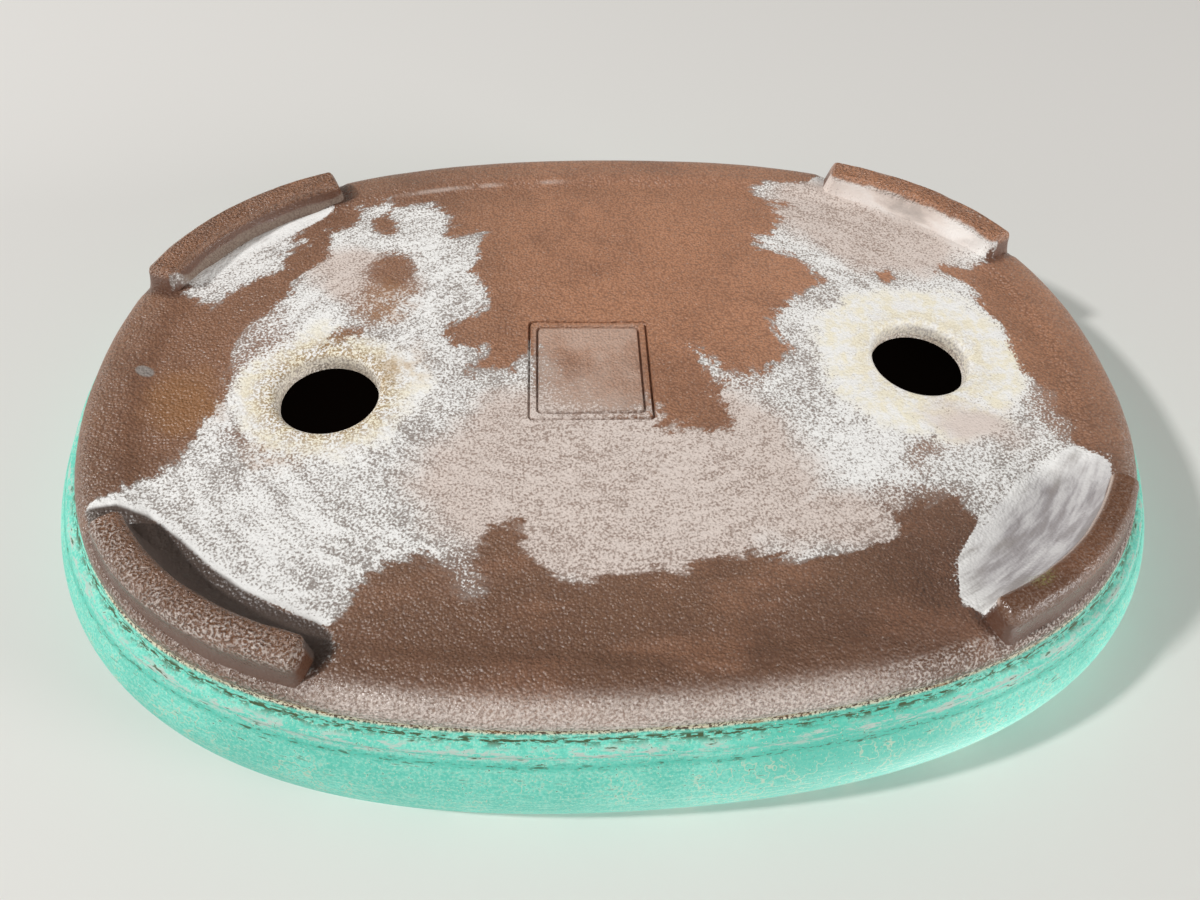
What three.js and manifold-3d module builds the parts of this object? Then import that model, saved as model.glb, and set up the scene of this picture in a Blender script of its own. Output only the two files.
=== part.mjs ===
// Oval bonsai pot of unglazed brown stoneware with a turquoise glazed wall.
// Millimetres, +Z up. The pot stands on its four feet, with the origin on the ground
// under its middle and its long axis along X.

import * as THREE from 'three';
import { ParametricGeometry } from 'three/addons/geometries/ParametricGeometry.js';
import { mergeVertices } from 'three/addons/utils/BufferGeometryUtils.js';
import Module from 'manifold-3d';

// Outline of the floor slab, from four quarter curves.
const BASE_LENGTH = 300;
const BASE_WIDTH = 213;
const OVAL_FULLNESS = 0.652; // curve handle over half axis, 0.552 is an ellipse

// Thin gap that the slip fills between two pieces joined before firing.
const SLIP_GAP = 0.3;

// Floor slab: a plain border that carries the feet, around a dished panel.
const FLOOR_THICKNESS = 7;
const FLOOR_EDGE_ROUND = 5.5;
const BORDER_WIDTH = 17;
const BORDER_SLOPE = 3.5;
const DISH_DEPTH = 1.5;

// Drain holes, cut by hand, so the two aren't quite alike: the middle of each lies
// some way in from its end of the floor, and a little to the side of the long axis.
const DRAIN_DIAMETER = 28;
const DRAIN_LIP_ROUND = 2.5;
const LEFT_DRAIN_FROM_END = 57;
const LEFT_DRAIN_ASIDE = 2.7;
const RIGHT_DRAIN_FROM_END = 66.8;
const RIGHT_DRAIN_ASIDE = -3.8;
const DRAINS = [
  { sideX: -1, fromEnd: LEFT_DRAIN_FROM_END, aside: LEFT_DRAIN_ASIDE },
  { sideX: 1, fromEnd: RIGHT_DRAIN_FROM_END, aside: RIGHT_DRAIN_ASIDE },
];

// Nearly square line pressed into the underside, around a bare field.
const PANEL_LENGTH = 36.1;
const PANEL_WIDTH = 39.5;
const PANEL_LINE = 1.6;
const PANEL_DEPTH = 0.8;
const PANEL_CENTRE = new THREE.Vector2(7.9, 2.2);
const PANEL_TURN_DEG = 2.2;

// Side wall: its outer face leaves the floor's outline, swells to the belly and draws in.
const WALL_HEIGHT = 30;
const WALL_THICKNESS = 7;
const WALL_FOOT_OFFSET = 0.4;
const BELLY_OFFSET = 9.2;
const BELLY_RISE = 18.5; // height of the belly above the foot of the wall
const RIM_OFFSET = 6.2;

// Raised band around the foot of the wall.
const RIDGE_RISE = 1.6;
const RIDGE_HEIGHT = 3.2;
const RIDGE_PROUD = 1.3;

// Rim lip: thicker than the wall on the inside, flat on top.
const RIM_HEIGHT = 4.5;
const RIM_THICKENING = 2;
const RIM_ROUND = 2;

// Glaze on the wall above the ridge, over the rim and a little way down inside.
const GLAZE_THICKNESS = 0.6;
const GLAZE_TURN_IN = 2;

// Feet: curved bars along the outline. Start and length run along the outline,
// from the end of the long axis.
const FOOT_HEIGHT = 7;
const FOOT_WIDTH = 10;
const FOOT_INSET = 2.5;
const FOOT_ROUND = 1.8;
const FRONT_LEFT_START = 53;
const FRONT_LEFT_LENGTH = 71;
const FRONT_RIGHT_START = 53;
const FRONT_RIGHT_LENGTH = 75;
const BACK_LEFT_START = 52;
const BACK_LEFT_LENGTH = 73;
const BACK_RIGHT_START = 42;
const BACK_RIGHT_LENGTH = 78;
const FEET = [
  {
    name: 'foot_front_left',
    sideX: -1,
    sideY: -1,
    start: FRONT_LEFT_START,
    length: FRONT_LEFT_LENGTH,
  },
  {
    name: 'foot_front_right',
    sideX: 1,
    sideY: -1,
    start: FRONT_RIGHT_START,
    length: FRONT_RIGHT_LENGTH,
  },
  {
    name: 'foot_back_left',
    sideX: -1,
    sideY: 1,
    start: BACK_LEFT_START,
    length: BACK_LEFT_LENGTH,
  },
  {
    name: 'foot_back_right',
    sideX: 1,
    sideY: 1,
    start: BACK_RIGHT_START,
    length: BACK_RIGHT_LENGTH,
  },
];

// Fineness of the facets.
const OUTLINE_STEPS = 64;
const WALL_STEPS = 6;
const RIDGE_STEPS = 4;
const ROUND_STEPS = 3;
const FOOT_STEPS = 16;
const DRAIN_STEPS = 32;

// Colours and finish of the fired surfaces.
const CLAY_COLOUR = 0x6f4936;
const CLAY_ROUGHNESS = 0.75;
const GLAZE_COLOUR = 0x5cb79c;
const GLAZE_ROUGHNESS = 0.35;

// Levels that follow from the sizes above.
const floorBottom = FOOT_HEIGHT;
const floorTop = floorBottom + FLOOR_THICKNESS;
const panelLevel = floorBottom + DISH_DEPTH;
const wallFoot = floorTop + SLIP_GAP;
const wallTop = wallFoot + WALL_HEIGHT;
const rimFoot = wallTop + SLIP_GAP;
const rimTop = rimFoot + RIM_HEIGHT;
const ridgeFoot = wallFoot + RIDGE_RISE;
const ridgeTop = ridgeFoot + RIDGE_HEIGHT;

const wasm = await Module();
wasm.setup();

// The floor's outline as a closed path, run anticlockwise from the end of the long axis.
function makeOutline() {
  const a = BASE_LENGTH / 2;
  const b = BASE_WIDTH / 2;
  const handleX = a * OVAL_FULLNESS;
  const handleY = b * OVAL_FULLNESS;
  const path = new THREE.Path();
  path.moveTo(a, 0);
  path.bezierCurveTo(a, handleY, handleX, b, 0, b);
  path.bezierCurveTo(-handleX, b, -a, handleY, -a, 0);
  path.bezierCurveTo(-a, -handleY, -handleX, -b, 0, -b);
  path.bezierCurveTo(handleX, -b, a, -handleY, a, 0);
  return path;
}

const outline = makeOutline();
const outlineLength = outline.getLength();

// Point and outward direction at a share of the way around the outline.
function outlineStation(share) {
  const tangent = outline.getTangentAt(share);
  return {
    point: outline.getPointAt(share),
    outward: new THREE.Vector2(tangent.y, -tangent.x),
  };
}

const stations = [];
for (let i = 0; i < OUTLINE_STEPS; i++) {
  stations.push(outlineStation(i / OUTLINE_STEPS));
}

// Carries a closed section around the outline. Section points are (outward offset, height),
// anticlockwise, and null as an offset puts a point on the pot's middle axis.
function sweepAroundOutline(section) {
  const count = section.length;
  const place = (u, v, target) => {
    const station = stations[Math.round(u * OUTLINE_STEPS) % OUTLINE_STEPS];
    const [offset, height] = section[Math.round(v * count) % count];
    if (offset === null) {
      target.set(0, 0, height);
      return;
    }
    const x = station.point.x + station.outward.x * offset;
    const y = station.point.y + station.outward.y * offset;
    target.set(x, y, height);
  };
  return new ParametricGeometry(place, OUTLINE_STEPS, count);
}

// Quarter round between two section points, around a given centre.
function quarterRound(centre, radius, startDeg) {
  const points = [];
  for (let i = 0; i <= ROUND_STEPS; i++) {
    const angle = THREE.MathUtils.degToRad(startDeg + (90 * i) / ROUND_STEPS);
    points.push([centre[0] + radius * Math.cos(angle), centre[1] + radius * Math.sin(angle)]);
  }
  return points;
}

// Outward offset of the wall's outer face at a height: a quarter sine up to the belly,
// then a quarter cosine in to the rim.
function wallFace(height) {
  const rise = height - wallFoot;
  if (rise < BELLY_RISE) {
    const swell = Math.sin((Math.PI / 2) * (rise / BELLY_RISE));
    return WALL_FOOT_OFFSET + (BELLY_OFFSET - WALL_FOOT_OFFSET) * swell;
  }
  const share = (rise - BELLY_RISE) / (rimTop - wallFoot - BELLY_RISE);
  const draw = 1 - Math.cos((Math.PI / 2) * share);
  return BELLY_OFFSET - (BELLY_OFFSET - RIM_OFFSET) * draw;
}

// Points on the wall's outer face between two heights, moved sideways by a shift.
function wallFacePoints(from, to, steps, shift) {
  const points = [];
  for (let i = 0; i <= steps; i++) {
    const height = from + ((to - from) * i) / steps;
    points.push([wallFace(height) + shift, height]);
  }
  return points;
}

function solidFromGeometry(geometry) {
  const bare = geometry.clone();
  bare.deleteAttribute('normal');
  bare.deleteAttribute('uv');
  const merged = mergeVertices(bare, 1e-4);
  return new wasm.Manifold(
    new wasm.Mesh({
      numProp: 3,
      vertProperties: new Float32Array(merged.attributes.position.array),
      triVerts: new Uint32Array(merged.index.array),
    }),
  );
}

function geometryFromSolid(solid) {
  const mesh = solid.getMesh();
  const geometry = new THREE.BufferGeometry();
  geometry.setAttribute('position', new THREE.BufferAttribute(mesh.vertProperties, 3));
  geometry.setIndex(new THREE.BufferAttribute(mesh.triVerts, 1));
  geometry.computeVertexNormals();
  return geometry;
}

// Floor slab before its cuts.
function floorBlank() {
  const round = Math.min(FLOOR_EDGE_ROUND, FLOOR_THICKNESS);
  const section = [
    [null, panelLevel],
    [-BORDER_WIDTH, panelLevel],
    [-BORDER_WIDTH + BORDER_SLOPE, floorBottom],
    ...quarterRound([-round, floorBottom + round], round, -90),
    [0, floorTop],
    [null, floorTop],
  ];
  return sweepAroundOutline(section);
}

// Shape of the clay taken out for a drain hole, with a rounded lip on the underside.
function drainCutter({ sideX, fromEnd, aside }) {
  const radius = DRAIN_DIAMETER / 2;
  const mouth = radius + DRAIN_LIP_ROUND;
  const lip = quarterRound([mouth, panelLevel + DRAIN_LIP_ROUND], DRAIN_LIP_ROUND, 180);
  const profile = new THREE.Path();
  profile.moveTo(0, 0);
  profile.lineTo(mouth, 0);
  for (const [x, y] of lip.reverse()) {
    profile.lineTo(x, y);
  }
  profile.lineTo(radius, floorTop + FLOOR_THICKNESS);
  profile.lineTo(0, floorTop + FLOOR_THICKNESS);
  const cutter = new THREE.LatheGeometry(profile.getPoints(), DRAIN_STEPS);
  cutter.rotateX(Math.PI / 2);
  cutter.translate(sideX * (BASE_LENGTH / 2 - fromEnd), aside, 0);
  return cutter;
}

function addOblong(path, length, width) {
  const x = length / 2;
  const y = width / 2;
  path.moveTo(-x, -y);
  path.lineTo(x, -y);
  path.lineTo(x, y);
  path.lineTo(-x, y);
  path.closePath();
}

// Nearly square line pressed into the dished panel.
function panelCutter() {
  const frame = new THREE.Shape();
  addOblong(frame, PANEL_LENGTH, PANEL_WIDTH);
  const field = new THREE.Path();
  addOblong(field, PANEL_LENGTH - 2 * PANEL_LINE, PANEL_WIDTH - 2 * PANEL_LINE);
  frame.holes.push(field);
  const depth = panelLevel + PANEL_DEPTH;
  const cutter = new THREE.ExtrudeGeometry(frame, { depth, bevelEnabled: false });
  cutter.rotateZ(THREE.MathUtils.degToRad(PANEL_TURN_DEG));
  cutter.translate(PANEL_CENTRE.x, PANEL_CENTRE.y, 0);
  return cutter;
}

function floorSlab() {
  let slab = solidFromGeometry(floorBlank());
  for (const drain of DRAINS) {
    slab = slab.subtract(solidFromGeometry(drainCutter(drain)));
  }
  slab = slab.subtract(solidFromGeometry(panelCutter()));
  return geometryFromSolid(slab);
}

function sideWall() {
  const outer = wallFacePoints(wallFoot, wallTop, WALL_STEPS, 0);
  const inner = wallFacePoints(wallFoot, wallTop, WALL_STEPS, -WALL_THICKNESS);
  return sweepAroundOutline([...outer, ...inner.reverse()]);
}

// Half-round band that lies on the wall's face.
function baseRidge() {
  const bed = wallFacePoints(ridgeFoot, ridgeTop, RIDGE_STEPS, SLIP_GAP);
  const crown = bed.slice(1, -1).map(([offset, height]) => {
    const share = (height - ridgeFoot) / RIDGE_HEIGHT;
    return [offset + RIDGE_PROUD * Math.sin(Math.PI * share), height];
  });
  return sweepAroundOutline([bed[0], ...crown, ...bed.reverse().slice(0, -1)]);
}

// Rim section without its foot: up the outer face, over the top and down the inner face.
function rimLine() {
  const outerTop = wallFace(rimTop);
  const inner = wallFace(rimFoot) - WALL_THICKNESS - RIM_THICKENING;
  const shoulder = rimTop - RIM_ROUND;
  return [
    [wallFace(rimFoot), rimFoot],
    ...quarterRound([outerTop - RIM_ROUND, shoulder], RIM_ROUND, 0),
    ...quarterRound([inner + RIM_ROUND, shoulder], RIM_ROUND, 90),
    [inner, rimFoot],
  ];
}

function rimLip() {
  return sweepAroundOutline(rimLine());
}

// Moves a line to its right by a distance, with each point along the mean of its two sides.
function offsetLine(line, distance) {
  return line.map(([x, y], i) => {
    const before = line[Math.max(i - 1, 0)];
    const after = line[Math.min(i + 1, line.length - 1)];
    const run = after[0] - before[0];
    const rise = after[1] - before[1];
    const length = Math.hypot(run, rise);
    return [x + (distance * rise) / length, y - (distance * run) / length];
  });
}

// Thin coat that starts above the ridge, covers the wall and turns in over the rim.
function glazeCoat() {
  const rim = rimLine();
  const innerFace = rim.at(-1)[0];
  const line = [
    ...wallFacePoints(ridgeTop + SLIP_GAP, wallTop, WALL_STEPS, 0),
    ...rim.slice(1, -1),
    [innerFace, rimTop - RIM_ROUND - GLAZE_TURN_IN],
  ];
  const under = offsetLine(line, SLIP_GAP);
  const over = offsetLine(line, SLIP_GAP + GLAZE_THICKNESS);
  return sweepAroundOutline([...over, ...under.reverse()]);
}

// Section of a foot, across the bar: x runs down from the floor and y inwards.
function footSection() {
  const half = FOOT_WIDTH / 2;
  const drop = FOOT_HEIGHT - SLIP_GAP;
  const shape = new THREE.Shape();
  shape.moveTo(0, -half);
  shape.lineTo(drop - FOOT_ROUND, -half);
  shape.absarc(drop - FOOT_ROUND, -half + FOOT_ROUND, FOOT_ROUND, -Math.PI / 2, 0, false);
  shape.absarc(drop - FOOT_ROUND, half - FOOT_ROUND, FOOT_ROUND, 0, Math.PI / 2, false);
  shape.lineTo(0, half);
  shape.closePath();
  return shape;
}

// Middle line of a foot's top, inside the outline.
function footLine({ sideX, sideY, start, length }) {
  const points = [];
  for (let i = 0; i <= FOOT_STEPS; i++) {
    const share = (start + (length * i) / FOOT_STEPS) / outlineLength;
    const { point, outward } = outlineStation(share);
    const spot = point.addScaledVector(outward, -FOOT_INSET - FOOT_WIDTH / 2);
    points.push(new THREE.Vector3(sideX * spot.x, sideY * spot.y, floorBottom - SLIP_GAP));
  }
  const anticlockwise = sideX * sideY > 0;
  return new THREE.CatmullRomCurve3(anticlockwise ? points : points.reverse());
}

function foot(layout) {
  return new THREE.ExtrudeGeometry(footSection(), {
    steps: FOOT_STEPS,
    curveSegments: ROUND_STEPS,
    extrudePath: footLine(layout),
  });
}

function clay() {
  return new THREE.MeshStandardMaterial({
    color: CLAY_COLOUR,
    roughness: CLAY_ROUGHNESS,
    metalness: 0,
  });
}

function glaze() {
  return new THREE.MeshStandardMaterial({
    color: GLAZE_COLOUR,
    roughness: GLAZE_ROUGHNESS,
    metalness: 0,
  });
}

const pot = new THREE.Group();

function addPiece(name, geometry, material) {
  const mesh = new THREE.Mesh(geometry, material);
  mesh.name = name;
  pot.add(mesh);
}

addPiece('floor_slab', floorSlab(), clay());
addPiece('side_wall', sideWall(), clay());
addPiece('base_ridge', baseRidge(), glaze());
addPiece('rim_lip', rimLip(), clay());
addPiece('glaze_coat', glazeCoat(), glaze());
for (const layout of FEET) {
  addPiece(layout.name, foot(layout), clay());
}

export default pot;
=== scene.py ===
import math

import bpy
import numpy as np
from mathutils import Matrix, Vector


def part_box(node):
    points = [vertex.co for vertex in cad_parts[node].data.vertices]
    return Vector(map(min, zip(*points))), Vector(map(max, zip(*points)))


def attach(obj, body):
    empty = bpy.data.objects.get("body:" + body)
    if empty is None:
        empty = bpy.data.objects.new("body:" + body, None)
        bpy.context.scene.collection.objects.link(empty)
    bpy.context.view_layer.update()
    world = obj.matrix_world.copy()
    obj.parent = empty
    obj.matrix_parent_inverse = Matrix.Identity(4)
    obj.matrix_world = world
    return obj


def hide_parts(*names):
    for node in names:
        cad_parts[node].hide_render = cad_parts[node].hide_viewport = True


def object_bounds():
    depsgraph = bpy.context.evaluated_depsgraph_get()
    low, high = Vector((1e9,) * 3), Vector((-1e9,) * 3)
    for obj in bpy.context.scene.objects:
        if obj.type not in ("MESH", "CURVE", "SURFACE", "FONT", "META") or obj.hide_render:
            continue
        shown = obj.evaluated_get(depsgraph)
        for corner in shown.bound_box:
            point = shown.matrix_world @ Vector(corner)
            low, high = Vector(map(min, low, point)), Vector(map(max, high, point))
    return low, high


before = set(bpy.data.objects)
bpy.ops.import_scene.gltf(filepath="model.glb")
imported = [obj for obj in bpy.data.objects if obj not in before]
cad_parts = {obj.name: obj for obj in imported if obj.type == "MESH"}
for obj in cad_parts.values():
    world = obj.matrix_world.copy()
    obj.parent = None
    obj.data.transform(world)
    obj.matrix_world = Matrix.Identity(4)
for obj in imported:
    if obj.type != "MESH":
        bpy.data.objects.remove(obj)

CAD_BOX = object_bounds()

bl_info = {
    "name": "Oval Bonsai Pot",
    "version": (1, 0, 0),
    "blender": (4, 5, 0),
    "location": "3D View > Sidebar > Pot",
    "description": "Models a worn oval bonsai pot, piece by piece, with its clay and glaze",
    "category": "Add Mesh",
}

MM = 0.001
FEET = ("front_left", "front_right", "back_left", "back_right")
FLOOR_LOW, FLOOR_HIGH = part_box("floor_slab")
WALL_LOW, WALL_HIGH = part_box("side_wall")
RIDGE_LOW, RIDGE_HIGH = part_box("base_ridge")
RIM_LOW, RIM_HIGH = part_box("rim_lip")
GLAZE_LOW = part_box("glaze_coat")[0]

ORIGIN = (0.0, 0.0, 0.0)

# Handle of a round Bezier circle over its radius.
ROUND_HANDLE = 0.5523

# Half height of a tint, so that it is the same at every level.
ANY_HEIGHT = 1000.0

# How quickly the streaks in the crust change around the oval and inwards.
SMEAR_AROUND = 7.0
SMEAR_INWARDS = 45.0

CLAY_SPECULAR = 0.8


def paint(code):
    """Linear colour of a six-digit screen colour."""
    parts = [(code >> shift & 255) / 255 for shift in (16, 8, 0)]
    return tuple(
        part / 12.92 if part <= 0.04045 else ((part + 0.055) / 1.055) ** 2.4 for part in parts
    )


def length_prop(name, description, default):
    return bpy.props.FloatProperty(
        name=name, description=description, default=default, min=0.0, precision=5, unit="LENGTH"
    )


def number_prop(name, description, default):
    return bpy.props.FloatProperty(name=name, description=description, default=default)


def colour_prop(name, description, code):
    return bpy.props.FloatVectorProperty(
        name=name, description=description, default=paint(code), size=3, min=0.0, max=1.0,
        subtype="COLOR",
    )


class PotSizes(bpy.types.PropertyGroup):
    """Sizes of the pot's pieces."""

    base_length: length_prop("Base length", "Long way across the floor", FLOOR_HIGH.x - FLOOR_LOW.x)
    base_width: length_prop("Base width", "Short way across the floor", FLOOR_HIGH.y - FLOOR_LOW.y)
    fullness: number_prop("Fullness", "Curve handle over half axis of the oval", 0.652)
    steps: bpy.props.IntProperty(
        name="Steps", description="Facets in each quarter of the oval", default=112
    )
    edge_round: length_prop("Edge round", "Round along the lower edge of the floor", 5.5 * MM)
    border: length_prop("Border", "Plain border that carries the feet", 12.0 * MM)
    border_slope: length_prop("Border slope", "Width of the slope down to the panel", 6.0 * MM)
    dish: length_prop("Dish", "Depth of the panel inside the border", 1.5 * MM)
    hollow: length_prop("Hollow", "Extra depth of the hollow behind each foot", 0.8 * MM)
    drain: length_prop("Drain", "Diameter of a drain hole", 28.0 * MM)
    drain_lip: length_prop("Drain lip", "Width of the round on the lip of a drain hole", 2.5 * MM)
    drain_flare: length_prop("Drain flare", "Depth of the round on the lip of a drain hole", 4.0 * MM)
    square: length_prop("Square", "Width of the pressed square", 36.1 * MM)
    square_tall: length_prop("Square tall", "Extra height of the pressed square", 3.4 * MM)
    square_band: length_prop("Square band", "From one pressed line to the other", 2.4 * MM)
    square_line: length_prop("Square line", "Width of a pressed line", 1.15 * MM)
    square_depth: length_prop("Square depth", "Depth of a pressed line", 1.4 * MM)
    wall: length_prop("Wall", "Thickness of the side wall", 7.0 * MM)
    scoop: length_prop("Scoop", "Reach of the scooped side of a foot over the panel", 8.0 * MM)
    foot_round: length_prop("Foot round", "Round along a foot's outer edge", 3.6 * MM)
    foot_flare: length_prop("Foot flare", "Spread of a foot's outer side towards the floor", 1.7 * MM)
    groove: length_prop("Groove", "Depth of the groove pressed around a foot", 0.7 * MM)
    foot_lean: length_prop("Foot lean", "Lean of a foot's ends", 2.2 * MM)


class PotColours(bpy.types.PropertyGroup):
    """Colours of the clay, the mineral crust and the glaze."""

    clay: colour_prop("Clay", "Bare fired clay towards the back", 0xC08A69)
    front_clay: colour_prop("Front clay", "Bare fired clay towards the front", 0x7C5A43)
    # Painted shadow: a dark brown laid in the hollow behind the front right foot, where that foot's
    # shadow falls.
    hollow_shade: colour_prop("Hollow shade", "Painted shade in the hollow behind a foot", 0x4B3C34)
    # Partly a real grey film, partly painted shade on the shaded scooped side of the back right foot.
    film_and_shade: colour_prop("Film and shade", "Thin grey film in the scoop of a foot", 0x8C7A6C)
    # Real darker clay in the pits and patches, and also painted shade in the grooves around the feet and
    # on their sides.
    dark_clay_and_shade: colour_prop("Dark clay and shade", "Clay in the pits, the grooves and darker patches", 0x5A3C2E)
    # Real wear, and also the pale specks on the clay's grain, which are partly painted glints.
    pale_wear_and_glint: colour_prop("Pale wear and glint", "Rubbed high spots of the clay", 0xD2BFB2)
    inner_clay: colour_prop("Inner clay", "Clay inside the pot", 0x7D5843)
    crust: colour_prop("Crust", "White mineral crust", 0xFAF9F6)
    film: colour_prop("Film", "Grey film in the pits of the crust", 0x958D87)
    # Also the colour of the painted glints on the front edge and on the feet.
    haze: colour_prop("Haze", "Thin pinkish-grey crust", 0xE2D4CB)
    haze_film: colour_prop("Haze film", "Film in the pits of the thin crust", 0xA18E83)
    cool: colour_prop("Cool", "Lilac-grey crust in the hollows", 0xABA6A8)
    cream: colour_prop("Cream", "Cream stain around the drain holes", 0xF8EFD4)
    tan: colour_prop("Tan", "Specks around the drain holes", 0xA5895F)
    wall: colour_prop("Drain wall", "Dull film on the walls of the drain holes", 0xCDC3B2)
    moss: colour_prop("Moss", "Dry moss on a foot", 0x8A8650)
    rust: colour_prop("Rust", "Rust stain near a drain hole", 0xA8743C)
    glaze: colour_prop("Glaze", "Turquoise glaze", 0x86E9D4)
    # Real glaze pooled in the grooves, and also a painted shadow on the front left of the belly.
    deep_glaze_and_shade: colour_prop("Deep glaze and shade", "Glaze where it pools", 0x59C6B0)
    pale_glaze: colour_prop("Pale glaze", "Fine pale crazing in the glaze", 0xC6F0DC)
    glaze_speck: colour_prop("Glaze speck", "Dark specks and dashes in the glaze", 0x4A5C3F)
    rubbed_glaze: colour_prop("Rubbed glaze", "Worn glaze on the ridge", 0xBCCFC4)
    glaze_edge: colour_prop("Glaze edge", "Cream line where the glaze ends", 0xE3DCC2)


class PotStage(bpy.types.PropertyGroup):
    """Backdrop and lamps."""

    backdrop: colour_prop("Backdrop", "Plain pale floor", 0xE4E2DE)
    key: number_prop("Key", "Light of the key lamps, where 1 shows white as white", 0.63)
    side: number_prop("Side", "Light of the lamps that soften the shadows", 0.5)
    low: number_prop("Low", "Light of the low lamp that brings out the rounded edges", 0.1)
    even: number_prop("Even", "Light from all around", 0.38)


# Drain holes: middle of each.
DRAINS = ((-93.0 * MM, 2.7 * MM), (83.2 * MM, -3.8 * MM))

# Pressed square: its middle and its turn.
SQUARE_PLACE = (7.9 * MM, 2.2 * MM)
SQUARE_TURN = math.radians(2.2)

# Feet: which end of the long axis each starts from, which way it runs around the oval seen
# from above, where it starts and how long it is along the outline, how far in from the outline
# its outer and inner edges stand, and how steep the scooped inner side is (2 is round).
FOOT_RUNS = {
    "front_left": (1, -1, 53.0 * MM, 71.0 * MM, 3.1 * MM, 10.8 * MM, 2.2),
    "front_right": (3, 1, 53.0 * MM, 76.0 * MM, 3.4 * MM, 11.8 * MM, 3.0),
    "back_left": (1, 1, 52.0 * MM, 73.0 * MM, 2.4 * MM, 12.2 * MM, 2.8),
    "back_right": (3, -1, 42.0 * MM, 78.0 * MM, 2.5 * MM, 11.6 * MM, 3.6),
}

# Levels and offsets of the wall's outer face.
WALL_FOOT_OFFSET = 0.4 * MM
BELLY_OFFSET = 9.2 * MM
BELLY_RISE = 18.5 * MM
RIM_OFFSET = 6.2 * MM

# How far pieces run into each other, to close the gaps between the solids.
OVERLAP = 0.3 * MM
SHORT_OVERLAP = 0.2 * MM

# Rim: its thickness, the round on its top edges and how far the glaze turns down inside it.
RIM_THICKNESS = 9.0 * MM
RIM_ROUND = 2.0 * MM
GLAZE_INSIDE = 2.0 * MM

# Lower and upper face of the glaze over the clay.
GLAZE_UNDER = 0.2 * MM
GLAZE_OVER = 0.86 * MM

# Heights of the marks in the glaze.
GLAZE_END = 13.2 * MM
LOWER_GROOVE = 15.4 * MM
RIDGE_CROWN = 17.7 * MM
UPPER_GROOVE = 20.2 * MM

# Lamps: name, direction from the pot, width in metres and the light of the stage that each gives.
LAMPS = (
    ("key_below", (0.73, -0.13, -0.67), 0.16, "key"),
    ("side_below", (-0.87, -0.42, -0.2), 0.8, "side"),
    ("low_below", (0.9, -0.33, -0.17), 0.7, "low"),
    ("key_above", (-0.5, -0.45, 0.75), 1.0, "key"),
    ("side_above", (0.35, 0.7, 0.62), 1.2, "side"),
)
LAMP_DISTANCE = 2.2

# Camera: its place, its own three directions, and its film and lens in millimetres.
CAMERA_PLACE = Vector((28.239, -189.569, -195.755)) * MM
CAMERA_RIGHT = (-0.9961, -0.07841, -0.04052)
CAMERA_UP = (-0.03639, 0.78317, -0.62075)
CAMERA_BACK = (0.08041, -0.61685, -0.78296)
CAMERA_FILM = 36.0
CAMERA_LENS = 28.5

# Outline of the white crust on the underside, in millimetres, clockwise from the back on the right.
CRUST = (
    (70, 84), (83, 79), (80, 73), (90, 67), (90, 54), (96, 47), (101, 34), (110, 24), (112, 19),
    (114, 12), (112, 0), (113, -6), (121, -27), (139, -41), (139, -44), (132, -43), (122, -46),
    (100, -66), (80, -77), (75, -79), (71, -71), (63, -63), (56, -62), (51, -65), (45, -73),
    (40, -73), (38, -67), (39, -56), (36, -53), (30, -52), (30, -59), (26, -64), (15, -71),
    (3, -68), (-9, -69), (-14, -66), (-29, -63), (-41, -68), (-69, -63), (-69, -54), (-84, -51),
    (-89, -54), (-90, -58), (-82, -68), (-78, -82), (-83, -85), (-110, -70), (-127, -54),
    (-132, -46), (-134, -41), (-130, -36), (-129, -31), (-133, -27), (-129, -14), (-121, 1),
    (-121, 7), (-124, 13), (-120, 26), (-121, 33), (-119, 37), (-111, 42), (-115, 44), (-121, 42),
    (-137, 50), (-119, 74), (-96, 88), (-84, 93), (-74, 89), (-61, 89), (-55, 86), (-59, 81),
    (-58, 76), (-64, 69), (-51, 60), (-53, 54), (-65, 48), (-69, 37), (-55, 29), (-51, 24),
    (-50, 11), (-53, 7), (-44, 0), (-32, 0), (-22, 13), (-21, 9), (-28, -1), (-29, -6), (-26, -9),
    (-29, -14), (-29, -22), (-11, -21), (-11, -13), (0, -8), (22, 13), (31, 3), (39, 4), (43, 2),
    (37, 12), (47, 16), (49, 20), (36, 31), (41, 47), (38, 64), (41, 67), (48, 63), (50, 67),
    (47, 71), (53, 79), (66, 80),
)
STRIP = (
    (129, 47), (132, 37), (127, 35), (122, 32), (119, 36), (114, 40), (110, 44), (105, 47),
    (101, 50), (102, 54), (99, 59), (95, 60), (96, 64), (101, 64), (97, 69), (91, 75), (88, 79),
    (95, 78), (102, 74), (110, 67), (117, 59), (124, 51),
)
BARE = (
    ((72, 52), (68, 55), (63, 53), (62, 47), (65, 41), (69, 41), (72, 45)),
    ((75, 72), (71, 74), (67, 70), (69, 66), (73, 67)),
    ((-60, 80), (-66, 78), (-68, 75), (-62, 76)),
    ((-90, 40), (-93, 41), (-95, 38), (-92, 37)),
    ((85, 14), (84, 18), (80, 21), (77, 20), (78, 17), (81, 15)),
)

# Hollows pressed behind the feet, in millimetres.
HOLLOWS = (
    ((139, -43), (132, -42), (124, -45), (115, -52), (106, -61), (97, -68), (87, -74), (78, -78),
     (75, -81), (74, -86), (77, -90), (92, -87), (104, -79), (116, -69), (127, -58), (137, -48)),
    ((-134, -39), (-126, -36), (-116, -41), (-106, -49), (-96, -57), (-87, -64), (-82, -69),
     (-80, -77), (-83, -85), (-88, -87), (-100, -81), (-112, -73), (-122, -64), (-130, -54)),
    ((130, 45), (124, 46), (118, 54), (110, 62), (101, 70), (90, 77), (88, 80), (95, 86),
     (106, 82), (116, 74), (126, 64), (132, 52)),
    ((-136, 51), (-128, 50), (-118, 58), (-108, 67), (-97, 75), (-86, 82), (-80, 88), (-84, 96),
     (-96, 93), (-108, 86), (-120, 77), (-129, 66)),
)

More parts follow.
